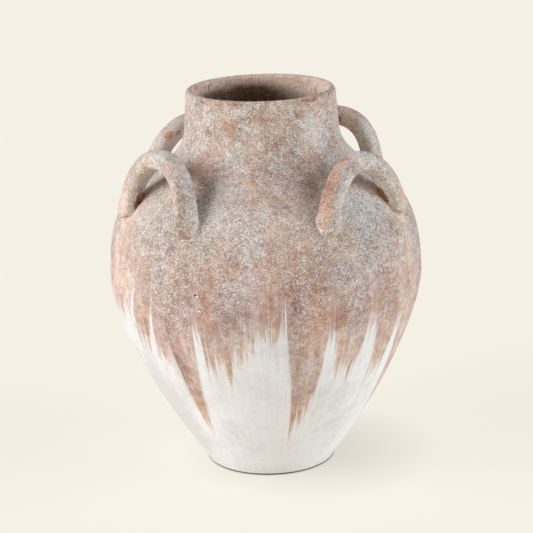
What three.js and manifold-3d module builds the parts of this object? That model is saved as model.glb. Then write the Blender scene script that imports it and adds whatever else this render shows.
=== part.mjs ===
import * as THREE from 'three';
import { mergeVertices } from 'three/addons/utils/BufferGeometryUtils.js';
import Module from 'manifold-3d';

// A hand-thrown storage jar with four upright loop handles on its shoulder.
// Millimetres, +Z up. The jar stands on z = 0 and its axis is the Z axis.
// It is built in thrown sections: a floor slab, two half walls, a neck collar and the luted handles.

// Jar heights and radii, all on the outside
const jarHeight = 400;
const footRadius = 65.5;
const bellyRadius = 163;
const bellyHeight = 205;
const neckFootRadius = 80.6;
const neckFootHeight = 344.8;
const rimRadius = 76.7;

// Shape of the two thrown curves between those radii
const footFlareAngle = 36;
const footPull = 152;
const lowerBellyPull = 8;
const upperBellyPull = 95;
const shoulderAngle = 42;
const shoulderPull = 52.5;
const throatBlend = 14.5;

// Wall, floor slab and the stepped joints between the sections
const wallThickness = 8;
const slabThickness = 10;
const footChamfer = 2;
const stepHeight = 4;
const stepWidth = 4;
const slipLine = 0.3;

// Handles: a rolled strap bent to an arch whose plane faces away from the axis
const strapWidth = 21;
const strapThickness = 20;
const handleFootHeight = 285;
const handleSpan = 96;
const handleRise = 58.5;
const crownReach = 130;
const footSpread = 1.2;
const footSpreadLength = 20;

// Where each handle stands, in degrees from +X, how square its arch is (2 is an ellipse),
// and its share of the span, rise and reach above, because each one was bent by hand
const handles = [
  { name: 'handle_right', azimuth: 1.5, squareness: 1.8, span: 1.04, rise: 0.94, reach: 0.99 },
  { name: 'handle_back', azimuth: 98, squareness: 2.5, span: 0.96, rise: 1.04, reach: 1.04 },
  { name: 'handle_left', azimuth: 172, squareness: 1.8, span: 1.02, rise: 0.99, reach: 1 },
  { name: 'handle_front', azimuth: 263, squareness: 2, span: 1, rise: 1.02, reach: 0.97 },
];

// Fineness of the facets
const turnFacets = 64;
const curveSteps = 9;
const blendSteps = 4;
const lipSteps = 6;
const strapSides = 12;
const archSteps = 24;
const footCapSteps = 3;
const shortestFacet = 1;

const colours = {
  bareClay: 0xb98f74,
  limewash: 0xe4e2dd,
  mottledWash: 0xc2b3a9,
};

const wasm = await Module();
wasm.setup();

const degrees = THREE.MathUtils.degToRad;
const lipRadius = wallThickness / 2;

// A unit vector in the profile plane, at an angle from straight up towards the outside
function outwardFromUp(angle) {
  return new THREE.Vector2(Math.sin(degrees(angle)), Math.cos(degrees(angle)));
}

// The outside of the jar from the floor to the start of the lip, as points (radius, height)
function outerOutline() {
  const foot = new THREE.Vector2(footRadius, 0);
  const belly = new THREE.Vector2(bellyRadius, bellyHeight);
  const neckFoot = new THREE.Vector2(neckFootRadius, neckFootHeight);
  const lipStart = new THREE.Vector2(rimRadius, jarHeight - lipRadius);
  const downShoulder = outwardFromUp(180 - shoulderAngle);
  const upNeck = lipStart.clone().sub(neckFoot).normalize();
  const shoulderEnd = neckFoot.clone().addScaledVector(downShoulder, throatBlend);
  const neckStart = neckFoot.clone().addScaledVector(upNeck, throatBlend);

  const lowerWall = new THREE.CubicBezierCurve(
    foot,
    foot.clone().addScaledVector(outwardFromUp(footFlareAngle), footPull),
    new THREE.Vector2(bellyRadius, bellyHeight - lowerBellyPull),
    belly,
  );
  const shoulder = new THREE.CubicBezierCurve(
    belly,
    new THREE.Vector2(bellyRadius, bellyHeight + upperBellyPull),
    shoulderEnd.clone().addScaledVector(downShoulder, shoulderPull),
    shoulderEnd,
  );
  const throat = new THREE.QuadraticBezierCurve(shoulderEnd, neckFoot, neckStart);
  return [
    ...lowerWall.getSpacedPoints(curveSteps),
    ...shoulder.getSpacedPoints(curveSteps).slice(1),
    ...throat.getSpacedPoints(blendSteps).slice(1),
    lipStart,
  ];
}

// The same outline moved square to itself: outwards for a positive distance, inwards for a negative one
function offsetOutline(outline, distance) {
  return outline.map((point, i) => {
    const before = outline[Math.max(i - 1, 0)];
    const after = outline[Math.min(i + 1, outline.length - 1)];
    const along = after.clone().sub(before).normalize();
    return new THREE.Vector2(point.x + along.y * distance, point.y - along.x * distance);
  });
}

// The radius of an outline at a height
function radiusAt(outline, height) {
  const next = Math.max(outline.findIndex((point) => point.y >= height), 1);
  const upper = outline[next];
  const lower = outline[next - 1];
  return THREE.MathUtils.mapLinear(height, lower.y, upper.y, lower.x, upper.x);
}

// The stretch of an outline between two heights, cut exactly at both
function stretch(outline, low, high) {
  const kept = outline.filter((point) => point.y > low + shortestFacet && point.y < high - shortestFacet);
  return [
    new THREE.Vector2(radiusAt(outline, low), low),
    ...kept,
    new THREE.Vector2(radiusAt(outline, high), high),
  ];
}

const outside = outerOutline();
const lipHeight = jarHeight - lipRadius;
const inside = [
  ...offsetOutline(outside, -wallThickness).slice(0, -1),
  new THREE.Vector2(rimRadius - wallThickness, lipHeight),
];

// A closed profile turned round the Z axis
function turn(profile) {
  const first = profile[0];
  const onAxis = first.x === 0 && profile[profile.length - 1].x === 0;
  const points = onAxis ? profile : [...profile, first.clone()];
  const geometry = new THREE.LatheGeometry(points, turnFacets);
  geometry.rotateX(Math.PI / 2);
  return geometry;
}

// The step on top of a lower section: its inner half stands up as a ring inside the section above
function stepOnTop(seamHeight) {
  const stepRadius = radiusAt(outside, seamHeight) - stepWidth;
  return [
    new THREE.Vector2(stepRadius, seamHeight),
    new THREE.Vector2(stepRadius, seamHeight + stepHeight),
  ];
}

// The matching step under the section above, a slip line wider than the ring that it drops over
function stepUnder(seamHeight) {
  return stepOnTop(seamHeight).map((point) => new THREE.Vector2(point.x + slipLine, point.y));
}

function baseSlab() {
  const chamferTop = radiusAt(outside, footChamfer);
  return turn([
    new THREE.Vector2(0, 0),
    new THREE.Vector2(chamferTop - footChamfer, 0),
    ...stretch(outside, footChamfer, slabThickness),
    ...stepOnTop(slabThickness),
    new THREE.Vector2(0, slabThickness + stepHeight),
  ]);
}

function wallSection(low, high) {
  return turn([
    ...stretch(outside, low, high),
    ...stepOnTop(high),
    ...stretch(inside, low + stepHeight, high + stepHeight).reverse(),
    ...stepUnder(low).reverse(),
  ]);
}

function neckCollar() {
  const lipCentre = rimRadius - lipRadius;
  const lip = [];
  for (let i = 1; i < lipSteps; i += 1) {
    const angle = (Math.PI * i) / lipSteps;
    const across = lipRadius * Math.cos(angle);
    const above = lipRadius * Math.sin(angle);
    lip.push(new THREE.Vector2(lipCentre + across, lipHeight + above));
  }
  return turn([
    ...stretch(outside, neckFootHeight, lipHeight),
    ...lip,
    ...stretch(inside, neckFootHeight + stepHeight, lipHeight).reverse(),
    ...stepUnder(neckFootHeight).reverse(),
  ]);
}

// The middle line of a handle, an upright arch: X is along the span, Y up and Z away from the axis
class HandleArch extends THREE.Curve {
  constructor(handle) {
    super();
    this.handle = handle;
  }

  getPoint(t, target = new THREE.Vector3()) {
    const { squareness, span, rise, reach } = this.handle;
    const halfSpan = (handleSpan * span) / 2;
    const footReach = Math.sqrt(radiusAt(outside, handleFootHeight) ** 2 - halfSpan ** 2);
    const angle = Math.PI * (t - 0.5);
    const across = Math.sign(Math.sin(angle)) * Math.abs(Math.sin(angle)) ** (2 / squareness);
    const up = Math.max(Math.cos(angle), 0) ** (2 / squareness);
    return target.set(
      halfSpan * across,
      handleFootHeight + handleRise * rise * up,
      THREE.MathUtils.lerp(footReach, crownReach * reach, up),
    );
  }
}

// One ring of the strap: its centre, its two half-axes in space and the share that it is drawn in by
function strapRing(centre, inPlane, outOfPlane, share) {
  const ring = [];
  for (let i = 0; i < strapSides; i += 1) {
    const angle = (2 * Math.PI * i) / strapSides;
    ring.push(
      centre.clone()
        .addScaledVector(inPlane, Math.cos(angle) * (strapThickness / 2) * share)
        .addScaledVector(outOfPlane, Math.sin(angle) * (strapWidth / 2) * share),
    );
  }
  return ring;
}

// Rings joined to a closed skin, with a fan over each end
function skin(rings) {
  const points = rings.flat();
  const index = [];
  for (let r = 0; r < rings.length - 1; r += 1) {
    for (let i = 0; i < strapSides; i += 1) {
      const a = r * strapSides + i;
      const b = r * strapSides + ((i + 1) % strapSides);
      index.push(a, b, a + strapSides);
      index.push(b, b + strapSides, a + strapSides);
    }
  }
  const lastRing = (rings.length - 1) * strapSides;
  for (let i = 1; i < strapSides - 1; i += 1) {
    index.push(0, i + 1, i);
    index.push(lastRing, lastRing + i, lastRing + i + 1);
  }
  const geometry = new THREE.BufferGeometry().setFromPoints(points);
  geometry.setIndex(index);
  return geometry;
}

// A whole strap: swept along its arch, wider towards its feet and rounded off at both ends
function handleStrap(handle) {
  const arch = new HandleArch(handle);
  const frames = arch.computeFrenetFrames(archSteps);
  const crown = arch.getPoint(0.5);
  const foot = arch.getPoint(0);
  const upright = new THREE.Vector3(0, crown.y - foot.y, crown.z - foot.z).normalize();
  const outOfPlane = new THREE.Vector3(1, 0, 0).cross(upright);
  const length = arch.getLength();
  const rings = [];

  for (let i = 0; i <= archSteps; i += 1) {
    const t = i / archSteps;
    const centre = arch.getPointAt(t);
    const inPlane = outOfPlane.clone().cross(frames.tangents[i]);
    const toFoot = Math.min(t, 1 - t) * length;
    const spread = THREE.MathUtils.smoothstep(footSpreadLength - toFoot, 0, footSpreadLength);
    const share = 1 + (footSpread - 1) * spread;
    rings.push(strapRing(centre, inPlane, outOfPlane, share));
  }

  const capBefore = [];
  const capAfter = [];
  for (let i = 1; i <= footCapSteps; i += 1) {
    const angle = (Math.PI / 2) * (i / (footCapSteps + 1));
    const share = footSpread * Math.cos(angle);
    const beyond = footSpread * (strapThickness / 2) * Math.sin(angle);
    const startTangent = frames.tangents[0];
    const endTangent = frames.tangents[archSteps];
    const startCentre = arch.getPointAt(0).addScaledVector(startTangent, -beyond);
    const endCentre = arch.getPointAt(1).addScaledVector(endTangent, beyond);
    capBefore.unshift(strapRing(startCentre, outOfPlane.clone().cross(startTangent), outOfPlane, share));
    capAfter.push(strapRing(endCentre, outOfPlane.clone().cross(endTangent), outOfPlane, share));
  }

  const geometry = skin([...capBefore, ...rings, ...capAfter]);
  // From the arch's own axes to the jar's: its Y is up, its Z points away from the axis at the azimuth
  geometry.rotateX(Math.PI / 2);
  geometry.rotateZ(degrees(handle.azimuth + 90));
  return geometry;
}

// Solids for cutting: a closed mesh in, and the cut mesh back out
function toSolid(geometry) {
  const bare = geometry.clone();
  bare.deleteAttribute('normal');
  bare.deleteAttribute('uv');
  const merged = mergeVertices(bare, 1e-4);
  return new wasm.Manifold(new wasm.Mesh({
    numProp: 3,
    vertProperties: new Float32Array(merged.attributes.position.array),
    triVerts: new Uint32Array(merged.index.array),
  }));
}

function toGeometry(solid) {
  const mesh = solid.getMesh();
  const geometry = new THREE.BufferGeometry();
  geometry.setAttribute('position', new THREE.BufferAttribute(mesh.vertProperties, 3));
  geometry.setIndex(new THREE.BufferAttribute(mesh.triVerts, 1));
  return geometry;
}

// The jar's outside, a slip line proud, that the feet of the handles are shaped to
function shoulderForm() {
  const proud = offsetOutline(outside, slipLine);
  return toSolid(turn([
    new THREE.Vector2(0, bellyHeight),
    ...stretch(proud, bellyHeight, lipHeight),
    new THREE.Vector2(0, lipHeight),
  ]));
}

function addPiece(group, name, geometry, color, roughness) {
  geometry.computeVertexNormals();
  const material = new THREE.MeshStandardMaterial({ color, roughness, metalness: 0 });
  const mesh = new THREE.Mesh(geometry, material);
  mesh.name = name;
  group.add(mesh);
}

const jar = new THREE.Group();
addPiece(jar, 'base_slab', baseSlab(), colours.limewash, 0.85);
addPiece(jar, 'lower_wall', wallSection(slabThickness, bellyHeight), colours.limewash, 0.85);
addPiece(jar, 'shoulder_wall', wallSection(bellyHeight, neckFootHeight), colours.mottledWash, 0.9);
addPiece(jar, 'neck_collar', neckCollar(), colours.mottledWash, 0.9);

const form = shoulderForm();
for (const handle of handles) {
  const shaped = toSolid(handleStrap(handle)).subtract(form);
  addPiece(jar, handle.name, toGeometry(shaped), colours.bareClay, 0.9);
}

export default jar;
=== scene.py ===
import math
from functools import partial

import bpy
import numpy as np
from mathutils import Matrix, Vector
from mathutils.bvhtree import BVHTree
from mathutils.kdtree import KDTree


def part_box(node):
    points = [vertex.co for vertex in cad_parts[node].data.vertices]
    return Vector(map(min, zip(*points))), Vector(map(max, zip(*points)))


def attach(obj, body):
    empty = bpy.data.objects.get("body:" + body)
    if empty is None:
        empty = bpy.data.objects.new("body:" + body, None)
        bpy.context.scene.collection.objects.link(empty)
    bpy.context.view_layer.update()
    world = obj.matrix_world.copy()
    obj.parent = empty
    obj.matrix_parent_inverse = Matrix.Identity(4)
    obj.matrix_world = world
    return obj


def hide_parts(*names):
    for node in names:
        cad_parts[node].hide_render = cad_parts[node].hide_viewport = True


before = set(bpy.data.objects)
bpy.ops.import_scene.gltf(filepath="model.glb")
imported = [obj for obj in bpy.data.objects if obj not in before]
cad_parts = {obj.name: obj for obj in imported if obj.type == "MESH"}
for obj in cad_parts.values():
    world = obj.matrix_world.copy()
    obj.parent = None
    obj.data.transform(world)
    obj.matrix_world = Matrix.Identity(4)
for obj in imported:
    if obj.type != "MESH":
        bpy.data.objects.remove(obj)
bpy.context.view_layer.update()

mm = 0.001

# A hand-thrown earthenware storage jar: floor slab, two half walls, neck collar and four luted loop handles.
# Its surface is a worn lime wash over terracotta, brushed down in long drips onto a whiter lower body.


def addNode(tree, kind, inputs=(), operation=None, **settings):
    made = tree.nodes.new(kind)
    if operation:
        made.operation = operation
    for name, value in settings.items():
        setattr(made, name, value)
    for socket, value in (inputs if isinstance(inputs, dict) else dict(enumerate(inputs))).items():
        if isinstance(value, bpy.types.Node):      # a node stands for its first output
            value = value.outputs[0]
        if isinstance(value, bpy.types.NodeSocket):
            tree.links.new(value, made.inputs[socket])
        else:
            made.inputs[socket].default_value = value
    return made


def linear(hexColour):  # sRGB hex to the linear colour that a shader socket holds
    shares = [int(hexColour[i:i + 2], 16) / 255 for i in (1, 3, 5)]
    return [s / 12.92 if s <= 0.04045 else ((s + 0.055) / 1.055) ** 2.4 for s in shares] + [1.0]


def newTree(name, sockets):  # a tree with its inputs, given as names for each kind of socket
    tree = bpy.data.node_groups.new(name, "GeometryNodeTree")
    tree.interface.new_socket(name="Geometry", in_out="INPUT", socket_type="NodeSocketGeometry")
    for kind, names in sockets.items():
        for socketName in names:
            tree.interface.new_socket(name=socketName, in_out="INPUT", socket_type="NodeSocket" + kind)
    tree.interface.new_socket(name="Geometry", in_out="OUTPUT", socket_type="NodeSocketGeometry")
    return tree


def addObject(name, data):
    made = bpy.data.objects.new(name, data)
    bpy.context.scene.collection.objects.link(made)
    return made


def pointMesh(name, points, attributes=None):  # bare points that a tree reads by their index
    mesh = bpy.data.meshes.new(name)
    mesh.from_pydata([tuple(p) for p in points], [], [])
    for attribute, values in (attributes or {}).items():
        made = mesh.attributes.new(attribute, "FLOAT", "POINT")
        made.data.foreach_set("value", np.array(values, np.float32))
    return addObject(name, mesh)


def runTree(tree, piece, values):  # sets a tree's inputs, runs it and keeps the result as a plain mesh
    modifier = piece.modifiers.new(tree.name, "NODES")
    modifier.node_group = tree
    for item in tree.interface.items_tree:
        if item.item_type == "SOCKET" and item.in_out == "INPUT" and item.name in values:
            modifier[item.identifier] = values[item.name]
    return toPlainMesh(piece)


def toPlainMesh(piece):  # the evaluated result becomes the piece's own mesh, with its faces pointing out
    mesh = bpy.data.meshes.new_from_object(piece.evaluated_get(bpy.context.evaluated_depsgraph_get()))
    piece.modifiers.clear()
    piece.data = mesh
    co = verticesOf(piece)
    mesh.calc_loop_triangles()
    corners = np.zeros(len(mesh.loop_triangles) * 3, np.int32)
    mesh.loop_triangles.foreach_get("vertices", corners)
    a, b, c = (co[corners.reshape(-1, 3)[:, i]] for i in range(3))
    if np.einsum("ij,ij->i", a, np.cross(b, c)).sum() < 0:
        mesh.flip_normals()
    return piece


def verticesOf(piece):
    co = np.zeros(len(piece.data.vertices) * 3, np.float32)
    piece.data.vertices.foreach_get("co", co)
    return co.reshape(-1, 3).astype(float)


def moveVertices(piece, co):
    piece.data.vertices.foreach_set("co", co.astype(np.float32).ravel())
    piece.data.update()


def smoothStep(value, low, high):
    t = np.clip((value - low) / (high - low), 0, 1)
    return t * t * (3 - 2 * t)


def turnFrom(azimuth, at):  # degrees from one direction to others, -180 to 180
    return (azimuth - at + 180) % 360 - 180


def runAlong(points):  # the length covered at each point of a line
    return np.concatenate([[0], np.cumsum(np.linalg.norm(np.diff(points, axis=0), axis=1))])


# The outline of the jar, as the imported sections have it
jar = {
    "height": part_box("neck_collar")[1].z,
    "bellyHeight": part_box("shoulder_wall")[0].z,
    "neckFootHeight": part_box("neck_collar")[0].z,
    "slabTop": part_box("lower_wall")[0].z,
    "bellyRadius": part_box("shoulder_wall")[1].x,
    "footRadius": 65.5 * mm,
    "neckFootRadius": 80.6 * mm,
    "rimRadius": 76.7 * mm,
    "footFlare": 36,            # degrees from upright
    "footPull": 152 * mm,
    "lowerPull": 8 * mm,
    "upperPull": 95 * mm,
    "shoulderAngle": 42,        # degrees from upright
    "shoulderPull": 52.5 * mm,
    "throatBlend": 14.5 * mm,
    "wall": 8 * mm,
    "footRound": 3.2 * mm,
    "step": 4 * mm,             # the stepped lap joint between two sections
    "slipLine": 0.3 * mm,
}


def bezier(corners, steps=240):
    t = np.linspace(0, 1, steps)[:, None]
    degree = len(corners) - 1
    return sum(math.comb(degree, i) * t ** i * (1 - t) ** (degree - i) * np.array(p)
               for i, p in enumerate(corners))


def outwardFromUp(degrees):
    return np.array([math.sin(math.radians(degrees)), math.cos(math.radians(degrees))])


def jarOutline():  # points (radius, height) from the floor to the start of the lip
    foot = np.array([jar["footRadius"], 0])
    belly = np.array([jar["bellyRadius"], jar["bellyHeight"]])
    neckFoot = np.array([jar["neckFootRadius"], jar["neckFootHeight"]])
    lipStart = np.array([jar["rimRadius"], jar["height"] - jar["wall"] / 2])
    downShoulder = outwardFromUp(180 - jar["shoulderAngle"])
    upNeck = (lipStart - neckFoot) / np.linalg.norm(lipStart - neckFoot)
    shoulderEnd = neckFoot + jar["throatBlend"] * downShoulder
    neckStart = neckFoot + jar["throatBlend"] * upNeck
    lower = bezier([foot, foot + jar["footPull"] * outwardFromUp(jar["footFlare"]),
                    belly - [0, jar["lowerPull"]], belly])
    upper = bezier([belly, belly + [0, jar["upperPull"]],
                    shoulderEnd + jar["shoulderPull"] * downShoulder, shoulderEnd])
    throat = bezier([shoulderEnd, neckFoot, neckStart], 40)
    neck = bezier([neckStart, lipStart], 60)
    return np.concatenate([lower, upper[1:], throat[1:], neck[1:]])


outside = jarOutline()
along = np.gradient(outside, axis=0)
outward = np.stack([along[:, 1], -along[:, 0]], 1) / np.linalg.norm(along, axis=1)[:, None]
inside = outside - jar["wall"] * outward


def radiusAt(line, height):
    return np.interp(height, line[:, 1], line[:, 0])


def stretch(line, low, high, spacing):  # evenly spaced points of an outline between two heights
    kept = line[(line[:, 1] > low) & (line[:, 1] < high)]
    ends = [[radiusAt(line, low), low]], [[radiusAt(line, high), high]]
    points = np.concatenate([ends[0], kept, ends[1]])
    length = runAlong(points)
    wanted = np.linspace(0, length[-1], max(round(length[-1] / spacing), 1) + 1)
    return np.stack([np.interp(wanted, length, points[:, i]) for i in (0, 1)], 1)


turned = {
    "facets": 800,
    "outerSpacing": 4.2 * mm,
    "innerSpacing": 9.5 * mm,
    "lipSteps": 14,
    "wobble": 1.3 * mm,         # how far the hand-thrown wall strays from a true circle
    "wobbleSize": 120 * mm,
    "lumps": 0.5 * mm,
    "lumpSize": 17 * mm,
    "lipSway": 1.5 * mm,
    "creaseAngle": 40,          # degrees
    "seed": 4.0,
    "lipSwayHeight": 25 * mm,   # only this much under the lip sways
    "lipSwaySize": 150 * mm,
    "weld": 0.005 * mm,
    "floorRings": 14,
}


def stepOnTop(height):
    radius = radiusAt(outside, height) - jar["step"]
    return np.array([[radius, height], [radius, height + jar["step"]]])


def wallSection(low, high):
    return np.concatenate([
        stretch(outside, low, high, turned["outerSpacing"]),
        stepOnTop(high),
        stretch(inside, low + jar["step"], high + jar["step"], turned["innerSpacing"])[::-1],
        (stepOnTop(low) + [jar["slipLine"], 0])[::-1],
    ])


def slabSection():
    bend = np.radians(np.linspace(-90, -20, 9))
    centre = [radiusAt(outside, jar["footRound"]) - jar["footRound"], jar["footRound"]]
    footEdge = centre + jar["footRound"] * np.stack([np.cos(bend), np.sin(bend)], 1)
    floorRings = np.linspace(0, footEdge[0][0], turned["floorRings"])[:-1]
    top = jar["slabTop"] + jar["step"]
    topRings = np.linspace(stepOnTop(jar["slabTop"])[1][0], 0, turned["floorRings"])[1:]
    return np.concatenate([
        np.stack([floorRings, 0 * floorRings], 1),
        footEdge,
        stretch(outside, jar["footRound"] * 1.2, jar["slabTop"], turned["outerSpacing"]),
        stepOnTop(jar["slabTop"]),
        np.stack([topRings, 0 * topRings + top], 1),
    ])


def neckSection():
    lipRadius = jar["wall"] / 2
    lipHeight = jar["height"] - lipRadius
    low = jar["neckFootHeight"]
    bend = np.radians(np.linspace(0, 180, turned["lipSteps"] + 1)[1:-1])
    lip = np.stack([jar["rimRadius"] - lipRadius + lipRadius * np.cos(bend),
                    lipHeight + lipRadius * np.sin(bend)], 1)
    return np.concatenate([
        stretch(outside, low, lipHeight, turned["outerSpacing"]),
        lip,
        stretch(inside, low + jar["step"], lipHeight, turned["innerSpacing"] / 2)[::-1],
        (stepOnTop(low) + [jar["slipLine"], 0])[::-1],
    ])


def addRing(tree, place):  # a place laid flat, its direction from the axis and its spot on one ring
    flat = addNode(tree, "ShaderNodeVectorMath", (place, (1, 1, 0)), "MULTIPLY")
    direction = addNode(tree, "ShaderNodeVectorMath", (flat,), "NORMALIZE")
    ring = addNode(tree, "ShaderNodeVectorMath", {0: direction, "Scale": jar["bellyRadius"]}, "SCALE")
    return flat, direction, ring


def addWander(tree, where, scale, depth, seed, detail):  # noise that strays both ways from nothing
    noise = addNode(tree, "ShaderNodeTexNoise", {
        "Vector": where, "W": seed, "Detail": detail, "Scale": scale}, noise_dimensions="4D")
    centred = addNode(tree, "ShaderNodeMath", (noise, 0.5), "SUBTRACT")
    return addNode(tree, "ShaderNodeMath", (centred, depth), "MULTIPLY")


def buildTurnedTree():  # turns a closed profile of points round the axis and lets the clay wander a little
    tree = newTree("turnedWall", {
        "Int": ("Profile Points", "Closing Rows", "Facets"),
        "Float": ("Wobble", "Wobble Size", "Lumps", "Lump Size", "Lip Sway", "Lip Height", "Seed"),
        "Material": ("Material",)})
    add = partial(addNode, tree)
    given = add("NodeGroupInput").outputs
    columns = add("FunctionNodeIntegerMath", (given["Facets"], 1), "ADD")
    rows = add("FunctionNodeIntegerMath", (given["Profile Points"], given["Closing Rows"]), "ADD")
    grid = add("GeometryNodeMeshGrid", {"Vertices X": columns, "Vertices Y": rows})
    index = add("GeometryNodeInputIndex")
    rowHere = add("FunctionNodeIntegerMath", (index, rows), "MODULO")
    row = add("FunctionNodeIntegerMath", (rowHere, given["Profile Points"]), "MODULO")
    column = add("FunctionNodeIntegerMath", (index, rows), "DIVIDE_FLOOR")
    place = add("GeometryNodeInputPosition")
    profile = add("GeometryNodeSampleIndex", {"Geometry": given["Geometry"], "Value": place, "Index": row},
                  data_type="FLOAT_VECTOR")
    part = add("ShaderNodeSeparateXYZ", (profile,)).outputs
    share = add("ShaderNodeMath", (column, given["Facets"]), "DIVIDE")
    angle = add("ShaderNodeMath", (share, math.tau), "MULTIPLY")
    cosine = add("ShaderNodeMath", (angle,), "COSINE")
    sine = add("ShaderNodeMath", (angle,), "SINE")
    x = add("ShaderNodeMath", (part["X"], cosine), "MULTIPLY")
    y = add("ShaderNodeMath", (part["X"], sine), "MULTIPLY")
    spun = add("ShaderNodeCombineXYZ", (x, y, part["Z"]))
    turnedGrid = add("GeometryNodeSetPosition", {"Geometry": grid, "Position": spun})
    closed = add("GeometryNodeMergeByDistance", {"Geometry": turnedGrid, "Distance": turned["weld"]})

    # the wall wanders sideways only, so that two sections still meet at their seam
    flat, direction, ring = addRing(tree, place)
    fromAxis = add("ShaderNodeVectorMath", (flat,), "LENGTH").outputs["Value"]
    offAxis = add("ShaderNodeMapRange", {"Value": fromAxis, "From Max": jar["footRadius"] / 2})
    height = add("ShaderNodeVectorMath", (place, (0, 0, 1)), "MULTIPLY")
    ringPlace = add("ShaderNodeVectorMath", (ring, height), "ADD")
    wanders = []
    for where, size, depth, detail in ((ringPlace, "Wobble Size", "Wobble", 1.0),
                                       (place, "Lump Size", "Lumps", 2.0)):
        scale = add("ShaderNodeMath", (1.0, given[size]), "DIVIDE")
        wanders.append(addWander(tree, where, scale, given[depth], given["Seed"], detail))
    both = add("ShaderNodeMath", wanders, operation="ADD")
    stray = add("ShaderNodeMath", (both, offAxis), "MULTIPLY")
    sideways = add("ShaderNodeVectorMath", {0: direction, "Scale": stray}, "SCALE")

    # only the last centimetres under the lip sway up and down
    lipHeight = given["Lip Height"]
    swayFrom = add("ShaderNodeMath", (lipHeight, turned["lipSwayHeight"]), "SUBTRACT")
    upHere = add("ShaderNodeSeparateXYZ", (place,)).outputs["Z"]
    nearLip = add("ShaderNodeMapRange", {"Value": upHere, "From Min": swayFrom, "From Max": lipHeight},
                  interpolation_type="SMOOTHSTEP")
    lipStray = addWander(tree, ring, 1 / turned["lipSwaySize"], given["Lip Sway"], given["Seed"], 1.0)
    lipLift = add("ShaderNodeMath", (lipStray, nearLip), "MULTIPLY")
    upwards = add("ShaderNodeCombineXYZ", {"Z": lipLift})
    offset = add("ShaderNodeVectorMath", (sideways, upwards), "ADD")
    handMade = add("GeometryNodeSetPosition", {"Geometry": closed, "Offset": offset})
    finishTree(tree, handMade, given["Material"])
    return tree


def finishTree(tree, geometry, material):  # smooth faces and sharp creases, then real geometry and material
    smooth = addNode(tree, "GeometryNodeSetShadeSmooth", {"Geometry": geometry, "Shade Smooth": True},
                     domain="FACE")
    bend = addNode(tree, "GeometryNodeInputMeshEdgeAngle")
    crease = addNode(tree, "FunctionNodeCompare", (bend, math.radians(turned["creaseAngle"])),
                     "GREATER_THAN", data_type="FLOAT")
    creased = addNode(tree, "GeometryNodeSetShadeSmooth", {
        "Geometry": smooth, "Selection": crease, "Shade Smooth": False}, domain="EDGE")
    real = addNode(tree, "GeometryNodeRealizeInstances", (creased,))
    dressed = addNode(tree, "GeometryNodeSetMaterial", {"Geometry": real, "Material": material})
    addNode(tree, "NodeGroupOutput", (dressed,))


def turnedPiece(name, profile, material):
    closingRows = 0 if profile[0][0] == 0 else 1      # a wall closes on itself, the slab on the axis
    return runTree(turnedTree, pointMesh(name, [(radius, 0, height) for radius, height in profile]), {
        "Profile Points": len(profile), "Closing Rows": closingRows, "Facets": turned["facets"],
        "Wobble": turned["wobble"], "Wobble Size": turned["wobbleSize"], "Lumps": turned["lumps"],
        "Lump Size": turned["lumpSize"], "Lip Sway": turned["lipSway"], "Lip Height": jar["height"],
        "Seed": turned["seed"], "Material": material})


# Lime wash over terracotta, brushed and then sponged back: matt, chalky, with the clay showing through
wash = {
    "fleckSize": 1.9 * mm,      # lime left in the hollows of the clay, about as coarse as the picture's grain
    "grainSize": 1.15 * mm,
    "curlSize": 4.2 * mm,       # thin curling ridges of lime
    "blotchSize": 9 * mm,
    "cloudSize": 46 * mm,
    "mauveSize": 8 * mm,        # iron turns the wash mauve in some places, greenish cream in others
    "bristleSize": 1.3 * mm,    # bristle marks, across the stroke
    "fibreSize": 2.4 * mm,
    "strandSize": 7 * mm,       # locks of bristles
    "fibreStretch": 0.035,      # share of the height that a bristle mark follows
    "fringe": 24 * mm,          # how far the dry edge of a stroke breaks up
    "brushed": 100 * mm,        # above its edge the wash is brushed, not sponged
    "dryReach": 26 * mm,        # how far up from its end the white shows between a stroke's bristles
    "tanReach": 20 * mm,        # the last of a stroke carries no lime and shows tan
    "relief": 0.7 * mm,
    "roughness": 0.86,
    "ior": 1.5,
    "bumpStrength": 0.7,
    "spotDepth": 4 * mm,        # how far a pit or crumb reaches into the wall and out of it
    "pit": "#3d2317",
    "crumb": "#f2efea",
}
# Tones from little lime to much, each at its share of the way
tones = {
    "cool": ((0.0, "#77695e"), (0.28, "#9a8e81"), (0.5, "#b6ada2"), (0.7, "#d2cdc5"), (1.0, "#ece9e3")),
    "mauve": ((0.0, "#856560"), (0.28, "#a58883"), (0.5, "#c0a8a3"), (0.7, "#d5c8c4"), (1.0, "#eae4e1")),
    "warm": ((0.0, "#7f5342"), (0.3, "#a77c69"), (0.55, "#c7a18a"), (1.0, "#e9d5c7")),
    "tan": ((0.0, "#b68e76"), (0.5, "#cbaa95"), (1.0, "#dfc9b9")),
    "plain": ((0.0, "#d0ccc9"), (0.25, "#dcd9d7"), (0.5, "#e7e5e5"), (1.0, "#f0efef")),
    "clay": ((0.0, "#140904"), (0.25, "#4f2d19"), (0.55, "#9c6a49"), (1.0, "#d9b294")),
    # the painted shade inside the neck
    "insideShadeTone": ((0.0, "#080301"), (0.4, "#180b04"), (0.65, "#341c0e"), (1.0, "#7a5030")),
}


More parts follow.
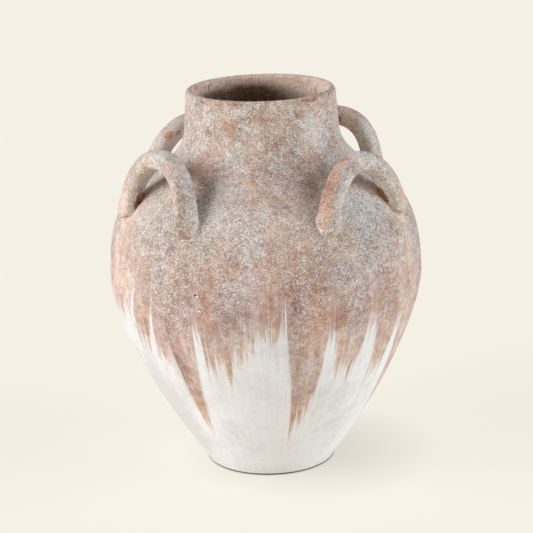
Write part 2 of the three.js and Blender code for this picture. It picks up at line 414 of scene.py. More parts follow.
def buildWash(name, pits=(), crumbs=()):
    material = bpy.data.materials.new(name)
    material.use_nodes = True
    tree = material.node_tree
    tree.nodes.clear()
    add = partial(addNode, tree)
    smooth = {"interpolation_type": "SMOOTHSTEP"}
    place = add("ShaderNodeTexCoord").outputs["Object"]
    read = {}                   # marks and noises by name
    for mark in ("aboveEdge", "brushed", "tint", "iron", "load", "inside", "bare"):
        read[mark] = add("ShaderNodeAttribute", attribute_name=mark).outputs["Fac"]

    # a place that runs along the meridians, for bristle marks
    ring = addRing(tree, place)[2]
    squeezed = add("ShaderNodeVectorMath", (place, (0, 0, wash["fibreStretch"])), "MULTIPLY")
    strokePlace = add("ShaderNodeVectorMath", (ring, squeezed), "ADD")

    for key, where, size, detail, rough, distortion in (
            ("fleck", place, wash["fleckSize"], 3.0, 0.75, 0.5),
            ("grain", place, wash["grainSize"], 1.0, 0.5, 0.0),
            ("curl", place, wash["curlSize"], 2.0, 0.6, 1.6),
            ("blotch", place, wash["blotchSize"], 1.5, 0.5, 0.6),
            ("cloud", place, wash["cloudSize"], 3.0, 0.55, 0.4),
            ("hue", place, wash["cloudSize"] * 0.55, 3.0, 0.6, 0.0),
            ("hueFleck", place, wash["fleckSize"] * 1.4, 2.0, 0.7, 0.0),
            ("mauve", place, wash["mauveSize"], 4.0, 0.75, 0.4),
            ("bristle", strokePlace, wash["bristleSize"], 0.0, 0.5, 0.0),
            ("gap", strokePlace, wash["bristleSize"], 0.0, 0.5, 0.0),
            ("fibre", strokePlace, wash["fibreSize"], 1.5, 0.6, 0.0),
            ("strand", strokePlace, wash["strandSize"], 1.0, 0.5, 0.0)):
        noise = add("ShaderNodeTexNoise", {"Vector": where, "Scale": 1 / size, "Detail": detail,
                                           "Roughness": rough, "Distortion": distortion})
        read[key] = add("ShaderNodeMath", (noise, 0.5), "SUBTRACT")

    def weighted(start, **weights):  # a sum of marks and noises times their weights
        total = start
        for key, weight in weights.items():
            total = add("ShaderNodeMath", (read[key], weight, total), "MULTIPLY_ADD")
        return total

    def spotted(spots):  # small single marks, each at an azimuth and height, half a width and height in mm
        total = None
        for azimuth, height, halfWidth, halfHeight, depth in spots:
            radius = radiusAt(outside, height * mm) - depth * mm
            turn = math.radians(azimuth)
            near = add("ShaderNodeMapping", {
                "Vector": place, "Location": (radius * math.cos(turn), radius * math.sin(turn), height * mm),
                "Rotation": (0, 0, turn), "Scale": (wash["spotDepth"], halfWidth * mm, halfHeight * mm)},
                vector_type="TEXTURE")
            ball = add("ShaderNodeTexGradient", (near,), gradient_type="SPHERICAL").outputs[1]
            total = ball if total is None else add("ShaderNodeMath", (total, ball), "MAXIMUM")
        read["spots"] = total
        return add("ShaderNodeMapRange", (weighted(0.0, spots=1.0, grain=0.8), 0.15, 0.4), **smooth)

    # where the stroke covers the white: above its edge, broken into bristles, thin where it runs dry
    covered = weighted(0.0, aboveEdge=1 / wash["fringe"], bristle=3.4, fibre=1.8, strand=0.8)
    dryness = add("ShaderNodeMapRange", (read["aboveEdge"], 0.0, wash["dryReach"], 1.0, 0.0), **smooth)
    gaps = add("ShaderNodeMapRange", (read["gap"], 0.02, 0.07), **smooth)
    read["missed"] = add("ShaderNodeMath", (dryness, gaps), "MULTIPLY")
    cover = weighted(add("ShaderNodeMapRange", (covered, -0.12, 0.12), **smooth), missed=-0.9)

    # how much lime the wash still carries at this spot: curling flecks where it was sponged, streaks below
    curlAway = add("ShaderNodeMath", (read["curl"],), "ABSOLUTE")
    read["curls"] = add("ShaderNodeMapRange", (curlAway, 0.0, 0.07, 1.0, 0.0), **smooth)
    hue = weighted(0.0, hue=2.4, hueFleck=3.7, fibre=0.9, strand=0.9, tint=0.8)
    warmth = add("ShaderNodeMapRange", (hue, -0.6, 0.95), **smooth)
    specks = weighted(-0.125, fleck=1.15, grain=0.75, curls=0.46)
    streaks = weighted(0.03, fibre=0.65, strand=0.5, fleck=0.45, grain=0.35)
    smoothed = add("ShaderNodeMath", (warmth, -0.45, 1.2), "MULTIPLY_ADD")
    flecked = add("ShaderNodeMath", (specks, smoothed), "MULTIPLY")
    read["fine"] = add("ShaderNodeMix", {0: read["brushed"], 2: flecked, 3: streaks})
    lime = weighted(0.484, fine=1.0, blotch=0.58, cloud=0.45, brushed=0.06, load=0.11)
    iron = add("ShaderNodeMapRange", (weighted(0.4, mauve=3.2, iron=1.0), 0.0, 1.0), **smooth)
    running = weighted(0.0, aboveEdge=1 / wash["tanReach"], fibre=1.2, blotch=1.0)
    nearTip = add("ShaderNodeMapRange", (running, 0.1, 1.0, 0.8, 0.0), **smooth)
    bristled = weighted(0.5, bristle=0.9, fibre=0.9, fleck=0.6)
    lowerLime = weighted(0.5, load=0.4, fibre=0.5, bristle=0.4, fleck=0.5, blotch=0.5, cloud=0.9)

    # bare clay on the worn lip, and in the crooks of the handles and at the foot's edge, where it is partly
    # painted shade;
    # inside the jar a painted shade, uneven, near black below the lip and clay-toned deeper down
    bareClayShare = weighted(0.0, bare=1.3, blotch=1.4, fleck=0.8)
    wearAndShading = add("ShaderNodeMapRange", (bareClayShare, 0.66, 0.9), **smooth)
    unevenShade = weighted(1.0, cloud=1.0, blotch=0.8)
    shadedInside = add("ShaderNodeMath", (read["inside"], unevenShade), "MULTIPLY")
    within = add("ShaderNodeMapRange", (shadedInside, 0.0, 1.0), **smooth)
    deep = add("ShaderNodeMapRange", (read["inside"], 1.05, 1.9), **smooth)

    paint = {"pit": linear(wash["pit"]), "crumb": linear(wash["crumb"])}
    for key, value in (("cool", lime), ("mauve", lime), ("warm", lime), ("tan", bristled),
                       ("plain", lowerLime), ("clay", lime), ("insideShadeTone", lime)):
        paint[key] = add("ShaderNodeValToRGB", (value,))
        elements = paint[key].color_ramp.elements
        while len(elements) < len(tones[key]):
            elements.new(1.0)
        for element, (position, colour) in zip(elements, tones[key]):
            element.position = position
            element.color = linear(colour)

    # what each layer is called, where it shows, then what is under it and what it lays over that
    layers = [("rusty", iron, "cool", "mauve"), ("mottled", warmth, "rusty", "warm"),
              ("stroke", nearTip, "mottled", "tan"), ("outer", cover, "plain", "stroke"),
              ("wearAndShading", wearAndShading, "outer", "clay"), ("inner", deep, "insideShadeTone", "clay"),
              ("whole", within, "wearAndShading", "inner")]
    layers += [("whole", spotted(spots), "whole", key) for key, spots in (("pit", pits), ("crumb", crumbs))
               if spots]
    for key, share, under, over in layers:
        paint[key] = add("ShaderNodeMix", {0: share, 6: paint[under], 7: paint[over]},
                         data_type="RGBA").outputs[2]

    bump = add("ShaderNodeBump", {"Strength": wash["bumpStrength"], "Distance": wash["relief"],
                                  "Height": weighted(0.0, fine=0.5, blotch=0.6)})
    shader = add("ShaderNodeBsdfPrincipled", {"Base Color": paint["whole"], "Roughness": wash["roughness"],
                                              "IOR": wash["ior"], "Normal": bump})
    add("ShaderNodeOutputMaterial", {"Surface": shader})
    return material


# The strokes that ran down from the wash: azimuth in degrees from +X, height of the tip in mm, then how many
# degrees the stroke takes on its left and right to climb back to the bay height. Two more numbers are the
# bows of these edges, 1 when left out: under 1 an edge climbs soon.
strokes = {
    "bay": 188,
    "front": (
        (-134, 150, 9, 5), (-127, 158, 5, 5), (-121, 172, 6, 8, 3, 2.5), (-115.4, 164, 4, 3, 1, 0.7),
        (-103.6, 148, 4.2, 3, 0.9, 1), (-101, 139, 3, 3), (-98.4, 140, 3, 2.6, 1, 1.8),
        (-91.8, 141, 2.9, 3, 4, 1), (-90, 128, 2.5, 9, 1, 1.3), (-85.5, 146, 2, 2, 4, 4),
        (-83.9, 88, 0.4, 0.5), (-82.9, 70, 0.4, 0.5), (-81.4, 56, 3.8, 9.8, 1, 2.4), (-79.9, 64, 0.5, 0.6),
        (-71.5, 160, 0.8, 1.1), (-69.3, 130, 1.5, 2.8, 1, 1.4), (-66.6, 129, 3, 2.6, 1.4, 1.3),
        (-64.4, 140, 2, 2.2, 1, 3), (-60.6, 124, 3.6, 4.8, 1.1, 1.2), (-59.8, 120, 1, 1),
        (-55.5, 150, 4, 5, 1.8, 1.8), (-46, 175, 9, 8, 4, 4), (-50.4, 158, 3, 2.5), (-46.8, 170, 1, 1),
        (-44.2, 168, 1.3, 1), (-42, 166, 0.9, 1.2), (-38.6, 122, 0.35, 0.45), (-37.2, 92, 0.4, 0.5),
        (-35.3, 34, 4.2, 12, 0.38, 0.95), (-33.8, 46, 0.5, 0.6), (-31.2, 60, 5, 7, 1.2, 1.3),
        (-28.4, 76, 4, 5, 1.2, 1.5), (-26, 94, 4, 3.4, 1, 1.5), (-24.2, 112, 0.5, 0.5),
        (-22.3, 168, 1.3, 1.3, 4, 4), (-17.2, 118, 4.5, 4), (-15.2, 124, 1.2, 1.2), (-13, 132, 7.5, 7, 3, 3),
        (-11, 106, 3.5, 2.4), (-9.2, 118, 2.5, 4.4, 1, 0.75), (-7.4, 127, 0.8, 1.2), (-4.6, 150, 0.4, 0.6),
        (-3, 174, 4, 4, 3, 3), (-1.9, 142, 0.4, 0.5), (0.8, 98, 3.2, 3, 0.8, 1), (3.2, 103, 1.4, 1.6),
        (5.4, 116, 6, 5, 3, 3), (9, 104, 5, 3.4, 1, 0.7), (12.4, 158, 2.4, 2.4, 4, 4),
        (21.5, 38, 9, 9, 1.05, 1.4),
    ),
    "slivers": (                # white left bare between strokes: azimuth, top, half width in degrees
        (-112.5, 192, 0.5), (-106.8, 220, 0.8), (-95.2, 212, 0.45), (-72.2, 192, 0.7), (-70, 191, 0.6),
        (-38.7, 212, 0.3), (-40.6, 198, 0.25), (-22.8, 174, 0.8), (-2.9, 186, 0.5), (0.2, 182, 0.4),
        (12.4, 166, 0.5), (21.5, 190, 0.6),
    ),
    "lean": {"perMm": 0.1, "about": 147, "fadeIn": (-126, -112), "fadeOut": (-92, -83)},   # degrees a mm
    "behind": {
        "from": 30, "to": 222, "margin": 4.0, "seed": 11, "spacing": (5, 13), "longShare": 0.28,
        "longTips": (45, 90), "shortTips": (115, 165), "reach": (3, 9), "longReach": 1.1, "shortReach": 0.75,
        "bows": (0.5, 1.9),
    },
}


def strokesBehind():  # the sides that the picture doesn't show carry strokes of the same kind
    rule = strokes["behind"]
    rng = np.random.default_rng(rule["seed"])
    made, azimuth = [], rule["from"] + rule["margin"]
    while azimuth < rule["to"] - rule["margin"]:
        kind = "long" if rng.random() < rule["longShare"] else "short"
        tip = rng.uniform(*rule[kind + "Tips"])
        reach = rng.uniform(*rule["reach"], 2) * rule[kind + "Reach"]
        made.append((azimuth, tip, *reach, *rng.uniform(*rule["bows"], 2)))
        azimuth += rng.uniform(*rule["spacing"])
    return made


def edgeHeight(azimuth):  # where the wash ends, in mm, for azimuths in degrees
    bay = strokes["bay"]
    edge = np.full(len(azimuth), float(bay))
    for at, tip, left, right, *bows in (*strokes["front"], *strokesBehind()):
        away = turnFrom(azimuth, at)
        share = np.where(away < 0, -away / left, away / right)
        climb = np.clip(share, 0, 1) ** np.where(away < 0, *(bows or (1, 1)))
        edge = np.where(share < 1, np.minimum(edge, tip + (bay - tip) * climb), edge)
    for at, top, half in strokes["slivers"]:
        away = np.abs(turnFrom(azimuth, at)) / half
        edge = np.where(away < 1, np.maximum(edge, top - (top - edge) * away), edge)
    return edge


# Handles: a rolled strap bent to an upright arch and luted on the shoulder, each one bent by hand
strap = {
    "width": 21 * mm,
    "thickness": 20 * mm,
    "squareness": 2.7,          # 2 is an ellipse, more is flatter
    "footHeight": 285 * mm,
    "span": 96 * mm,
    "rise": 58.5 * mm,
    "crownReach": 130 * mm,
    "footSpread": 1.08,
    "footSpreadLength": 20 * mm,
    "runIn": 18 * mm,           # how far a leg goes on past its foot, into the wall
    "toeBend": 80,              # degrees that it turns inwards there, which rounds the toe
    "toeLength": 10 * mm,
    "rings": 190,
    "sides": 56,
    "fillet": 1.8 * mm,         # slip smoothed round the foot with a finger
    "buried": 2.5 * mm,
    "lumps": 0.9 * mm,
    "lumpSize": 24 * mm,
    "seed": 2.0,
    "pathSteps": 600,
    "toeSteps": 30,
    "tuck": (-6 * mm, -1 * mm),         # how far below the skin the fillet fades out
    "crookBelow": 30 * mm,              # marks near a foot start this far below it
    "crookRise": (3 * mm, 11 * mm),     # heights over the foot where the crook's bare clay, partly painted shade, begins
    "crookReach": 6 * mm,
    "slipReach": (0.5 * mm, 3.5 * mm),  # where lime gathers round the foot
    "nearSide": 0.5,            # share of the belly's radius, beyond which a wall is on a handle's own side
    "skinShare": 0.55,          # share of the width from the path to the strap's skin
    "padTurn": 6,               # degrees round the strap for each mm of a pad's radius
}
# "wearAndShading" places: share of the way along the strap and degrees round it (0 faces outwards, 90 is the
# outer edge of the loop), half the length and half the angle, then warmth, lime and bareness as for the
# walls. Some are wear; the ones near a foot at about -85 to -116 degrees, with much less lime, are painted
# shade where the strap meets the wall, and the broad ones with more lime at 150 to 175 degrees on the back
# and left handles are painted light on their shaded side. "pads" are dabs of clay pressed on: along, around,
# radius and lift. On "darkCrookSide" the wall in the crook of the loop turns to bare clay, partly painted
# shade.
handles = {
    "handle_right": {
        "azimuth": 1.5, "squareness": 1.8, "span": 1.04, "rise": 0.94, "reach": 0.99,
        "darkCrookSide": 1,
        "wearAndShading": ((0.28, 88, 0.2, 42, 1.4, -0.5, 0), (0.4, 100, 0.05, 24, 0.8, -1.4, 0.3),
                 (0.57, 60, 0.12, 80, -0.4, 0.6, 0), (0.08, 60, 0.1, 60, 0.6, 0.7, 0),
                 (0.94, 20, 0.12, 42, 1.5, 0.7, 0), (0.74, -60, 0.14, 60, -0.5, 0.2, 0),
                 (0.2, -10, 0.15, 40, -0.5, 0.5, 0), (0.9, -112, 0.055, 26, 0, -2.4, 1.5),
                 (0.84, -116, 0.03, 20, 0.5, -0.5, 1.4), (0.98, -100, 0.05, 30, -0.5, -2.0, 0)),
        "pads": ((0.05, 95, 7, 1.4),),
    },
    "handle_back": {
        "azimuth": 98, "squareness": 2.5, "span": 0.96, "rise": 1.04, "reach": 1.04,
        "darkCrookSide": 1,
        "wearAndShading": ((0.45, 125, 0.07, 60, 1.7, -0.3, 0.25), (0.22, 175, 0.22, 80, 0.2, 2.0, 0),
                 (0.5, 150, 0.6, 180, 0.25, 1.0, 0),
                 (0.48, 195, 0.09, 36, 0.5, -1.8, 0.9), (0.2, 200, 0.15, 36, -0.3, -1.5, 0),
                 (0.9, -100, 0.06, 30, 0, -2.0, 1.3)),
        "pads": ((1.0, 5, 8, 1.2), (0.0, 5, 8, 1.2)),
    },
    "handle_left": {
        "azimuth": 172, "squareness": 1.8, "span": 1.02, "rise": 0.99, "reach": 1.0,
        "darkCrookSide": 1,
        "wearAndShading": ((0.69, 135, 0.035, 30, 0.9, -0.3, 1.1), (0.63, 165, 0.025, 20, 0.6, -0.3, 0.9),
                 (0.78, 175, 0.25, 80, 0.2, 2.1, 0), (0.5, 150, 0.6, 180, 0.25, 1.7, 0),
                 (0.42, 120, 0.12, 80, 0.6, -0.2, 0),
                 (0.9, -100, 0.06, 30, 0, -2.0, 1.3)),
        "pads": ((1.0, 5, 8, 1.2), (0.0, 5, 8, 1.2)),
    },
    "handle_front": {
        "azimuth": 263, "squareness": 2.0, "span": 1.0, "rise": 1.02, "reach": 0.97,
        "darkCrookSide": -1,
        "wearAndShading": ((0.5, 0, 0.7, 180, 0.3, 0.1, 0), (0.52, 60, 0.15, 80, -0.4, 1.1, 0),
                 (0.8, 28, 0.13, 26, -0.6, -1.7, 0),
                 (0.97, 15, 0.07, 36, -0.6, -1.9, 0), (0.85, 100, 0.2, 26, -0.5, 0.9, 0),
                 (0.85, -36, 0.2, 24, -0.2, 1.2, 0), (0.2, -85, 0.18, 55, -0.6, -1.4, 0),
                 (0.14, -20, 0.16, 50, 0.4, 1.1, 0), (0.08, -105, 0.09, 30, 0, -3.0, 1.4)),
        "pads": ((0.9, 92, 6, 2.2), (0.95, 88, 6, 2.4)),
    },
}


# Places where the wash differs: azimuth in degrees, height, half width and half height in mm, then how far it
# wore back to a peach or brown tone (below 0 it kept a cool grey bloom), and how much lime it carries. Some
# are not the wash but painted shade and painted light on the shoulder round the near handles, marked below
patches = (
    (-112, 250, 22, 55, 0.5, 0.9), (-104, 203, 14, 26, 0.6, 0.1), (-66, 215, 9, 32, 0.9, 0.0),
    (-28, 212, 9, 34, 1.1, 0.4), (-37, 227, 9, 10, 0.9, -0.3), (-47, 262, 26, 26, 0.1, 0.6),
    (-42, 256, 12, 12, 0.4, 0.1), (-15, 262, 12, 22, 0.6, 0.2), (10, 208, 12, 32, 0.7, 0.1),
    (-31, 74, 13, 24, 2.2, 0.5), (-81, 72, 12, 24, 2.0, 0.5), (-60.5, 140, 8, 20, 1.0, -0.3),
    (-92.5, 138, 10, 18, 0.9, 0.1), (-67.5, 150, 8, 16, 0.9, 0.2), (-98, 155, 9, 18, 0.7, 0.2),
    (-118, 180, 12, 26, 0.8, 0.4), (-10, 136, 12, 18, 0.7, 0.2), (-17, 140, 7, 16, 0.6, 0.2),
    (3, 130, 7, 20, 1.0, 0.0), (11.5, 132, 6, 18, 0.8, 0.2), (21, 85, 16, 55, 1.1, 0.2),
    (-71, 226, 15, 26, -0.2, -0.7), (-56, 210, 20, 22, -0.9, -0.7), (-35, 190, 9, 46, -0.7, -0.7),
    (-19, 241, 22, 12, -0.5, -0.7), (-19, 196, 12, 14, 0.8, -2.0), (-2, 203, 10, 18, 0.3, -0.4),
    (-54, 232, 18, 14, -0.8, 0.2), (-68, 298, 14, 20, -0.3, 0.6), (-42, 330, 26, 12, 0.2, -0.5),
    (-98, 288, 22, 20, -0.15, 1.0), (0, 284, 24, 22, -0.7, 0.5), (-24, 150, 6, 30, 0.5, 0.3),
    (-73, 376, 12, 8, 1.0, -1.1), (-66, 370, 8, 6, 0.7, -0.7), (-58, 371, 7, 6, -0.6, 1.3),
    (-79, 394, 14, 4, 1.0, -0.5),
    (-20, 394, 24, 8, 0.0, 1.0), (-97, 358, 16, 24, -0.2, 1.2), (-5, 356, 16, 22, 0.05, 2.6),
    (0, 384, 14, 12, 0.4, 0.2), (-18, 370, 14, 12, 0.3, 0.0),
    # painted shadows on the shoulder: beside the near left handle, then between the neck and the near right
    # handle
    (-74, 322, 12, 18, -0.6, -1.2), (-75, 306, 8, 12, -0.6, -0.6), (-20, 320, 12, 16, 0.1, -1.9),
    (-45, 292, 40, 12, 0.2, 0.5), (-62, 340, 14, 8, -0.3, 0.8), (-33, 352, 14, 12, 0.0, -0.8),
    (-82, 148, 11, 26, 0.2, -2.7), (-80, 112, 10, 32, 0.2, -1.2), (-112, 105, 44, 75, 0, -1.3),
    (-60, 108, 14, 60, 0, 0.1),
    (-48, 322, 30, 16, 0.3, -0.1), (-45, 240, 60, 26, 0.1, -0.3),
    (19, 236, 6, 42, 1.1, 1.1), (-5, 238, 9, 24, -1.1, 0.1), (-11.5, 250, 6, 24, 0.4, 0.8),
    (-104, 176, 7, 16, 0.8, -0.6), (-114, 232, 9, 60, 0.5, 0.9),
    # (-67, 312) and (-53, 320) are painted light, lifting the shoulder where the near left handle's shadow
    # falls
    (-67, 312, 12, 18, 0.2, 1.5), (-53, 320, 14, 11, 0.1, 1.4), (-62, 250, 9, 12, 0.0, 1.3),
    (-56, 205, 13, 16, -0.1, -1.2), (-46, 204, 14, 12, 0.0, -1.3), (-41, 284, 18, 16, 0.4, 0.4),
    (-16, 276, 14, 18, -0.5, 0.2), (12, 244, 12, 26, -0.5, 0.3), (-24, 262, 14, 30, -0.35, 0.0),
    # (7, 308) is painted light inside the near right handle's loop; (-5, 339) is painted shade in its crook
    # by the neck
    (7, 308, 12, 14, 0.0, 1.8), (-5, 339, 9, 9, 0.2, -2.6), (-34, 338, 14, 9, -0.4, 0.2),
    (-50, 268, 24, 20, -0.1, 0.4), (-100, 60, 30, 50, 0, -0.7), (-12, 70, 30, 50, 0, -0.3),
    (58, 390, 26, 14, 0.2, 1.6), (92, 380, 26, 14, 0.7, -0.3), (-94, 180, 12, 16, 0.2, -0.8),
    (6, 165, 14, 24, 0.0, -0.6),
    # (-97, 312) is painted light inside the near left handle's loop; (-84, 328) warms and (-90, 344) darkens
    # the painted shadow beside it
    (-97, 312, 8, 12, 0.1, 1.3), (-84, 328, 24, 32, 0.6, 0.2), (-90, 344, 8, 8, 0.0, -1.2),
    (-30, 285, 14, 30, 0.1, 0.5),
    (-43, 205, 9, 18, 0.35, 0.0), (-112, 292, 14, 18, 0.0, 0.6), (-84, 190, 12, 14, 0.0, -0.6),
    (-64, 298, 10, 10, 0.1, 0.8), (14, 210, 10, 16, 0.0, -0.7), (22, 262, 14, 26, 0.2, 0.6),
    (-37, 288, 16, 14, 0.35, 0.0), (-37, 208, 12, 16, 0.35, 0.0), (-118, 308, 14, 20, -0.35, 0.3),
    (-85, 384, 14, 8, -0.3, 0.7), (-45, 384, 12, 6, 0.8, -0.8), (-66, 388, 12, 5, -0.9, 0.5),
)


# Places above the strokes that were brushed out smooth: azimuth, height, half width, half height, share
brushedSpots = ((-116, 238, 17, 62, 1.0), (20, 236, 12, 52, 0.9), (-103, 178, 10, 14, 0.9))
# Bare clay on the lip, where hands and stacking wore the wash off: azimuth, height, half width, half height,
# how bare
bareSpots = (
    (-80, 393, 13, 3, 0.8), (-63, 396, 12, 3, 0.6), (-20, 396, 26, 2.5, 0.4), (-97, 395, 10, 3, 0.7),
    (-2, 396, 12, 3, 0.6), (20, 396, 14, 3, 0.5), (60, 397, 30, 3, 0.3), (130, 397, 25, 3, 0.25),
    (78, 385, 34, 9, 0.62), (178, 396, 22, 4, 0.3), (-150, 396, 16, 3, 0.6),
)
# Popped pits and short cracks, then crumbs of lime: azimuth, height, half width, half height, depth
pits = (
    (-70.5, 225, 1.6, 1.5, 0), (-73.5, 274, 1.8, 0.7, 0), (-100, 273, 1.0, 0.7, 0), (-61, 374, 1.0, 1.0, 0),
    (-30, 268, 0.8, 0.7, 0), (5, 262, 0.7, 0.9, 0),
    (-173, 393, 1.0, 4.5, 8), (-176, 395, 0.9, 2.5, 8), (-169, 394, 0.9, 2.5, 8), (176, 392, 1.6, 0.9, 8),
    (60, 240, 1.3, 1.2, 0), (95, 215, 1.1, 1.4, 0), (130, 268, 1.4, 1.1, 0), (170, 232, 1.2, 1.2, 0),
    (-140, 246, 1.3, 1.4, 0), (-150, 218, 1.0, 1.1, 0),
)
crumbs = (
    (-69.7, 223.6, 1.5, 1.2, 0), (-69, 209, 2.0, 1.0, 0), (-55, 221, 1.6, 1.2, 0), (-47, 220, 1.0, 0.9, 0),
    (-23, 218, 1.2, 1.4, 0), (-90, 243, 1.3, 1.0, 0), (-36, 247, 1.1, 1.0, 0), (-62, 300, 1.0, 1.2, 0),
    (70, 226, 1.6, 1.3, 0), (112, 250, 1.2, 1.2, 0), (150, 221, 1.5, 1.0, 0), (-130, 262, 1.4, 1.2, 0),
)


# How the wash changes with height, in the neck and at the edges, and the painted shade inside the neck, in
# the handles' crooks and at the foot's edge
weather = {
    "upper": (235 * mm, 300 * mm),      # over these heights the wash gets a little cooler and fuller
    "upperTint": -0.12,
    "upperLoad": 0.5,
    "ironFade": (215 * mm, 285 * mm),   # and its mauve gives way to a greenish cream
    "ironBelow": 0.45,
    "ironLoss": 0.55,
    "brushedFade": (150 * mm, 215 * mm),
    "brushedMost": 0.85,
    "brushedStart": 0.2,                # share of the brushed height where sponging begins
    # painted shade inside the neck: it comes up highest on the far side, and deep down it turns to the clay
    # tone
    "insideShadeAround": 152,                  # the azimuth where the painted shade inside comes up nearest to the lip
    "insideShadeReach": (3, 54),               # least and most, in mm
    "insideShadeSlant": 0.7,
    "unshadedLip": 7 * mm,                 # no painted shade on this much of the inside
    "deepInside": (60 * mm, 120 * mm),
    "innerShare": 0.6,                  # deeper in the wall than this share of it counts as inside
    "insideTint": 1.9,
    "insideLoad": 2.1,
    "lip": (5 * mm, 1 * mm),            # below the top
    "lipBare": 0.3,
    # a crook turns to bare clay that is partly painted shade
    "crookBareAndShade": 0.9,
    # the foot's bottom edge turns to bare clay, darkened further as painted contact shade
    "footEdge": (0.9 * mm, 2.2 * mm),
    "footBare": 1.6,
    "footLoad": -2.6,
}


def crookMarks(co, gap=None):  # near a handle's foot, inside its loop and outside; "gap" is how far it is off
    inner = np.zeros(len(co))
    outer = np.zeros(len(co))
    low = strap["footHeight"] - strap["crookBelow"]
    near = np.flatnonzero((co[:, 2] > low) & (co[:, 2] < jar["neckFootHeight"]))
    for handle in handles.values():
        path = handlePath(handle)[0]
        facing = math.radians(handle["azimuth"])
        across = co[near] @ np.array([-math.sin(facing), math.cos(facing), 0])
        forwards = co[near] @ np.array([math.cos(facing), math.sin(facing), 0])
        here = forwards > strap["nearSide"] * jar["bellyRadius"]
        toPath = np.linalg.norm(co[near][:, None, :] - path[None, ::3, :], axis=2).min(1)
        away = toPath - strap["skinShare"] * strap["width"] if gap is None else gap[near]
        inLoop = here & (np.abs(across) < strap["span"] * handle["span"] / 2)
        # on one side of the loop the crook turns to bare clay, partly painted shade
        missed = inLoop & (across * handle["darkCrookSide"] > 0)
        high = smoothStep(co[near][:, 2], *(strap["footHeight"] + rise for rise in strap["crookRise"]))
        inner[near] = np.maximum(inner[near], missed * high * (1 - smoothStep(away, 0, strap["crookReach"])))
        outer[near] = np.maximum(outer[near], (here & ~inLoop) * (1 - smoothStep(away, *strap["slipReach"])))
    return inner, outer


def handleMarks(co, path, outOfPlane, places):  # how near each vertex is to places along and around a strap
    tree = KDTree(len(path))
    for index, point in enumerate(path):
        tree.insert(point, index)
    tree.balance()
    nearest = np.array([tree.find(point)[1] for point in co])
    inPlane = np.cross(outOfPlane, np.gradient(path, axis=0))
    inPlane /= np.linalg.norm(inPlane, axis=1)[:, None]
    spoke = co - path[nearest]
    length = runAlong(path)
    along = ((length - strap["runIn"]) / (length[-1] - 2 * strap["runIn"]))[nearest]
    around = np.degrees(np.arctan2(np.einsum("ij,ij->i", spoke, inPlane[nearest]), spoke @ outOfPlane))
    return [np.exp(-((along - place[0]) / place[2]) ** 2 - (turnFrom(around, place[1]) / place[3]) ** 2)
            for place in places]


def nearSpot(co, spot):  # 1 in the middle of an azimuth and height, less over its half width and height in mm
    at, z, halfWidth, halfHeight = spot
    azimuth = np.degrees(np.arctan2(co[:, 1], co[:, 0]))
    side = np.radians(turnFrom(azimuth, at)) * np.hypot(co[:, 0], co[:, 1]) / (halfWidth * mm)
    up = (co[:, 2] - z * mm) / (halfHeight * mm)
    return np.exp(-side ** 2 - up ** 2)


def paintMarks(piece, gap=None, wearAndShading=()):  # what the wash reads at each vertex
    co = verticesOf(piece)
    azimuth = np.degrees(np.arctan2(co[:, 1], co[:, 0]))
    height = co[:, 2]
    lean = strokes["lean"]
    leans = lean["perMm"] * smoothStep(azimuth, *lean["fadeIn"]) * (1 - smoothStep(azimuth, *lean["fadeOut"]))
    aboveEdge = height - edgeHeight(azimuth - leans * (height / mm - lean["about"])) * mm
    upper = smoothStep(height, *weather["upper"])
    tint = weather["upperTint"] * upper
    load = weather["upperLoad"] * upper
    for *spot, warmth, lime in patches:
        share = nearSpot(co, spot)
        tint += warmth * share
        load += lime * share
    bare = np.zeros(len(co))
    for *spot, share in bareSpots:
        bare += share * nearSpot(co, spot)
    # a strap's places add wear, and also painted shade and painted light, as warmth, lime and bare clay
    for share, (warmth, lime, missed) in wearAndShading:
        tint += warmth * share
        load += lime * share
        bare += missed * share
    brushed = np.maximum(1 - smoothStep(height, *weather["brushedFade"]),
                         1 - smoothStep(aboveEdge, weather["brushedStart"] * wash["brushed"],
                                        wash["brushed"]))
    for *spot, share in brushedSpots:
        brushed = np.maximum(brushed, share * nearSpot(co, spot))

    # painted shade inside the neck: none just under the lip, reaching up highest on the far side
    depth = jar["height"] - height
    past = np.radians(azimuth - weather["insideShadeAround"])
    least, most = weather["insideShadeReach"]
    insideShadeReach = (least + most * np.sin(past / 2) ** 2 * (1 - weather["insideShadeSlant"] * np.sin(past))) * mm
    insideShade = 1 - np.exp(-np.clip(depth - weather["unshadedLip"], 0, None) / insideShadeReach)
    isInner = np.hypot(co[:, 0], co[:, 1]) < radiusAt(outside, height) - jar["wall"] * weather["innerShare"]
    tint += weather["insideTint"] * isInner
    load += weather["insideLoad"] * isInner
    lip = smoothStep(height, *(jar["height"] - down for down in weather["lip"]))
    inner, outer = crookMarks(co, gap)
    # the foot's bottom edge: bare clay, darkened further as painted contact shade
    footEdge = 1 - smoothStep(height, *weather["footEdge"])
    marks = {
        "aboveEdge": aboveEdge,
        "brushed": weather["brushedMost"] * brushed,
        "iron": weather["ironBelow"] - weather["ironLoss"] * smoothStep(height, *weather["ironFade"]),
        "tint": tint,
        "load": load + outer + weather["footLoad"] * footEdge,
        # painted shade inside the neck and deep in the jar
        "inside": isInner * (insideShade + smoothStep(depth, *weather["deepInside"])) * (gap is None),
        # bare clay on the lip; in the crooks and at the foot's edge it is partly painted shade
        "bare": (bare + weather["lipBare"] * lip + weather["crookBareAndShade"] * inner
                 + weather["footBare"] * footEdge),
    }
    for name, values in marks.items():
        made = piece.data.attributes.new(name, "FLOAT", "POINT")
        made.data.foreach_set("value", values.astype(np.float32))


